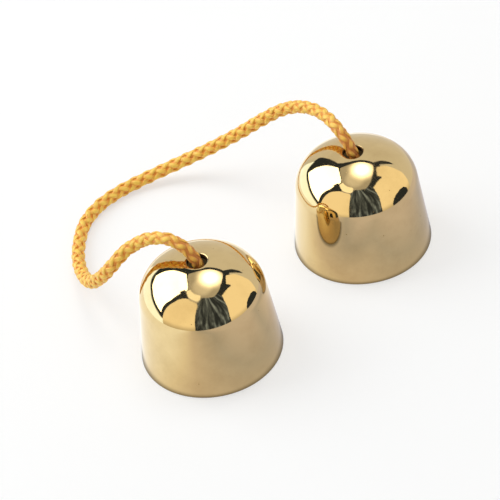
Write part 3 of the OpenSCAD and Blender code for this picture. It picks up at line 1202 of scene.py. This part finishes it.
def gleam_material(stage, cups):
    """The paper as the brass mirrors it, painted: bright on the side of the softbox, and dim on the other,
    where each cup's shadow is painted.
    """
    material, tree, light = new_glow("Paper gleam", WHITE)
    place = object_place(tree)
    parts = parts_of(tree, place)
    axis = ranged(
        tree, parts["X"], -GLEAM_BLEND, GLEAM_BLEND, LEFT_CUP.x, RIGHT_CUP.x, "SMOOTHSTEP")
    from_axis = vectors(tree, "SUBTRACT", place, vector_of(tree, axis))
    along = measured(tree, "DOT_PRODUCT", from_axis, studio_direction(stage, GLEAM_BEARING, 0))
    # Painted light and shadow: bright towards the softbox from each cup's axis, and dim on the far side,
    # where the cup's shadow is painted
    first, last = GLEAM_STOPS[0][0], GLEAM_STOPS[-1][0]
    ramp = add_node(tree, "ShaderNodeValToRGB", {0: ranged(tree, along, first, last)})
    stops = ramp.color_ramp.elements
    for _ in GLEAM_STOPS[2:]:
        stops.new(1)
    for stop, (distance, colour) in zip(stops, GLEAM_STOPS):
        stop.position = (distance - first) / (last - first)
        stop.color = (*colour, 1)

    # The two cups stand evenly to both sides of the middle
    beside = maths(tree, "SUBTRACT", maths(tree, "ABSOLUTE", parts["X"]), RIGHT_CUP.x)
    reach = measured(tree, "LENGTH", vector_of(tree, beside, parts["Y"]))
    foot = cups.mouth / 2
    # Painted shade: the sheet dims round each cup's foot
    shade = ranged(tree, reach, foot, foot + FOOT_SHADE, FOOT_DIM, 1, "SMOOTHSTEP")
    set_inputs(tree, light, {
        "Color": ramp.outputs[0], "Strength": maths(tree, "MULTIPLY", shade, stage.paper)})
    show_mix(tree, GLEAM_COVER, result(tree, "ShaderNodeBsdfTransparent"), light.outputs[0])
    return material


def under_material(stage):
    """The paper under a cup: dim in the brass, while the knots get light enough to be seen from below."""
    material, tree, light = new_glow("Paper under a cup", WHITE)
    lights = add_node(tree, "ShaderNodeLightPath").outputs["Is Diffuse Ray"]
    added = stage.under_light - stage.under_shine
    set_inputs(tree, light, {"Strength": maths(tree, "MULTIPLY_ADD", lights, added, stage.under_shine)})
    return material


def set_gleam(stage, cups):
    """Sheets on the table, which the camera doesn't see: one all over it, and one under each cup."""
    material = gleam_material(stage, cups)
    set_rays(add_ring("table_gleam", material, 0, TABLE_RADIUS, (0, 0, GLEAM_HEIGHT)))
    material = under_material(stage)
    radius = cups.mouth / 2 - cups.wall
    for side, x in SIDES:
        sheet = add_ring(f"under_{side}_cup", material, 0, radius, (x, 0, 2 * GLEAM_HEIGHT))
        set_rays(sheet, lights=True)


def set_cards(stage):
    """The softbox that lights the cups, and the cards that they mirror."""
    warm = panel_glow(stage)
    black, white, backdrop, shine, light, cream = (new_glow(*look)[0] for look in (
        ("Black flag", DARK_COLOUR, DARK_GLOW),
        ("White card", LOW_CARD_COLOUR, stage.low_card),
        ("Backdrop", WHITE, stage.surround),
        ("Softbox shine", SOFTBOX_COLOUR, stage.softbox_shine),
        ("Softbox light", SOFTBOX_COLOUR, stage.softbox_light),
        ("Cream strip", STRIP_COLOUR, stage.strip)))
    round_card("softbox_shine", stage, SOFTBOX, SOFTBOX_DISTANCE, shine)
    round_card("softbox_light", stage, SOFTBOX, SOFTBOX_DISTANCE, light, lights=True, mirrored=False)
    round_card("softbox_frame", stage, SOFTBOX_FRAME, SOFTBOX_DISTANCE + FRAME_DEPTH, black)
    round_card("left_panel", stage, LEFT_PANEL, NEAR, warm)
    round_card("right_panel", stage, RIGHT_PANEL, NEAR, warm)
    round_card("camera_curtain", stage, CURTAIN, MIDDLE, curtain_glow())
    for name, stations in FLAGS.items():
        round_card(name, stage, stations, MIDDLE, black)
    round_card("side_block", stage, SIDE_BLOCK, BLOCK_DISTANCE, black)
    round_card("left_strip", stage, LEFT_STRIP, MIDDLE, cream)
    round_card("low_card", stage, LOW_CARD, BEHIND, white)
    round_card("backdrop", stage, BACKDROP, BEHIND, backdrop)
    round_card("ceiling", stage, CEILING, CEILING_DISTANCE, ceiling_glow(stage), lights=True)


def set_world(stage):
    """A pale surround for the camera and for reflections, which lights the object more softly."""
    world = bpy.data.worlds.new("Studio")
    bpy.context.scene.world = world
    world.use_nodes = True
    tree = world.node_tree
    tree.nodes.clear()
    strength = maths(tree, "MULTIPLY_ADD", seen_ray(tree), stage.surround - stage.fill, stage.fill)
    back = result(tree, "ShaderNodeBackground", {"Color": (*SURROUND_COLOUR, 1), "Strength": strength})
    add_node(tree, "ShaderNodeOutputWorld", {"Surface": back})


def set_camera(stage):
    """The camera, at the eye and turned about its view."""
    data = bpy.data.cameras.new("Camera")
    data.lens = stage.lens
    data.clip_start = 0.01
    camera = add_object("Camera", data)
    view = (Vector(stage.aim) - Vector(stage.eye)).normalized()
    level = view.cross(Vector((0, 0, 1))).normalized()
    right = math.cos(stage.roll) * level + math.sin(stage.roll) * level.cross(view)
    axes = Matrix((right, right.cross(view), -view)).transposed().to_4x4()
    camera.matrix_world = Matrix.Translation(stage.eye) @ axes
    bpy.context.scene.camera = camera


class CYMBALS_OT_set_stage(bpy.types.Operator):
    """Set the camera, the pale floor and the studio's lamps and cards"""

    bl_idname = "cymbals.set_stage"
    bl_label = "Set the Stage"

    def execute(self, context):
        stage = context.scene.cymbal_stage
        context.scene.view_settings.view_transform = "Standard"
        set_camera(stage)
        set_world(stage)
        set_floor(stage)
        set_gleam(stage, context.scene.cymbal_cups)
        set_cards(stage)
        return {"FINISHED"}


SETTINGS = {"cymbal_cups": CupSettings, "cymbal_cord": CordSettings, "cymbal_stage": StageSettings}
OPERATORS = (
    CYMBALS_OT_seal_ends, CYMBALS_OT_braid_cord, CYMBALS_OT_turn_cups, CYMBALS_OT_set_stage,
)


class CYMBALS_PT_sidebar(bpy.types.Panel):
    """Lists the steps that finish the cup cymbals, with their settings"""

    bl_idname = "CYMBALS_PT_sidebar"
    bl_label = "Cup Cymbals"
    bl_space_type = "VIEW_3D"
    bl_region_type = "UI"
    bl_category = "Cup Cymbals"

    def draw(self, context):
        layout = self.layout
        for operator in OPERATORS:
            layout.operator(operator.bl_idname)
        for name, kind in SETTINGS.items():
            box = layout.box()
            for setting in kind.__annotations__:
                box.prop(getattr(context.scene, name), setting)


CLASSES = (*SETTINGS.values(), *OPERATORS, CYMBALS_PT_sidebar)


def register():
    for kind in CLASSES:
        bpy.utils.register_class(kind)
    for name, kind in SETTINGS.items():
        setattr(bpy.types.Scene, name, PointerProperty(type=kind))


def unregister():
    for name in SETTINGS:
        delattr(bpy.types.Scene, name)
    for kind in reversed(CLASSES):
        bpy.utils.unregister_class(kind)


def main():
    register()
    bpy.ops.cymbals.seal_ends()
    bpy.ops.cymbals.braid_cord()
    bpy.ops.cymbals.turn_cups()
    bpy.ops.cymbals.set_stage()


if __name__ == "__main__":
    main()
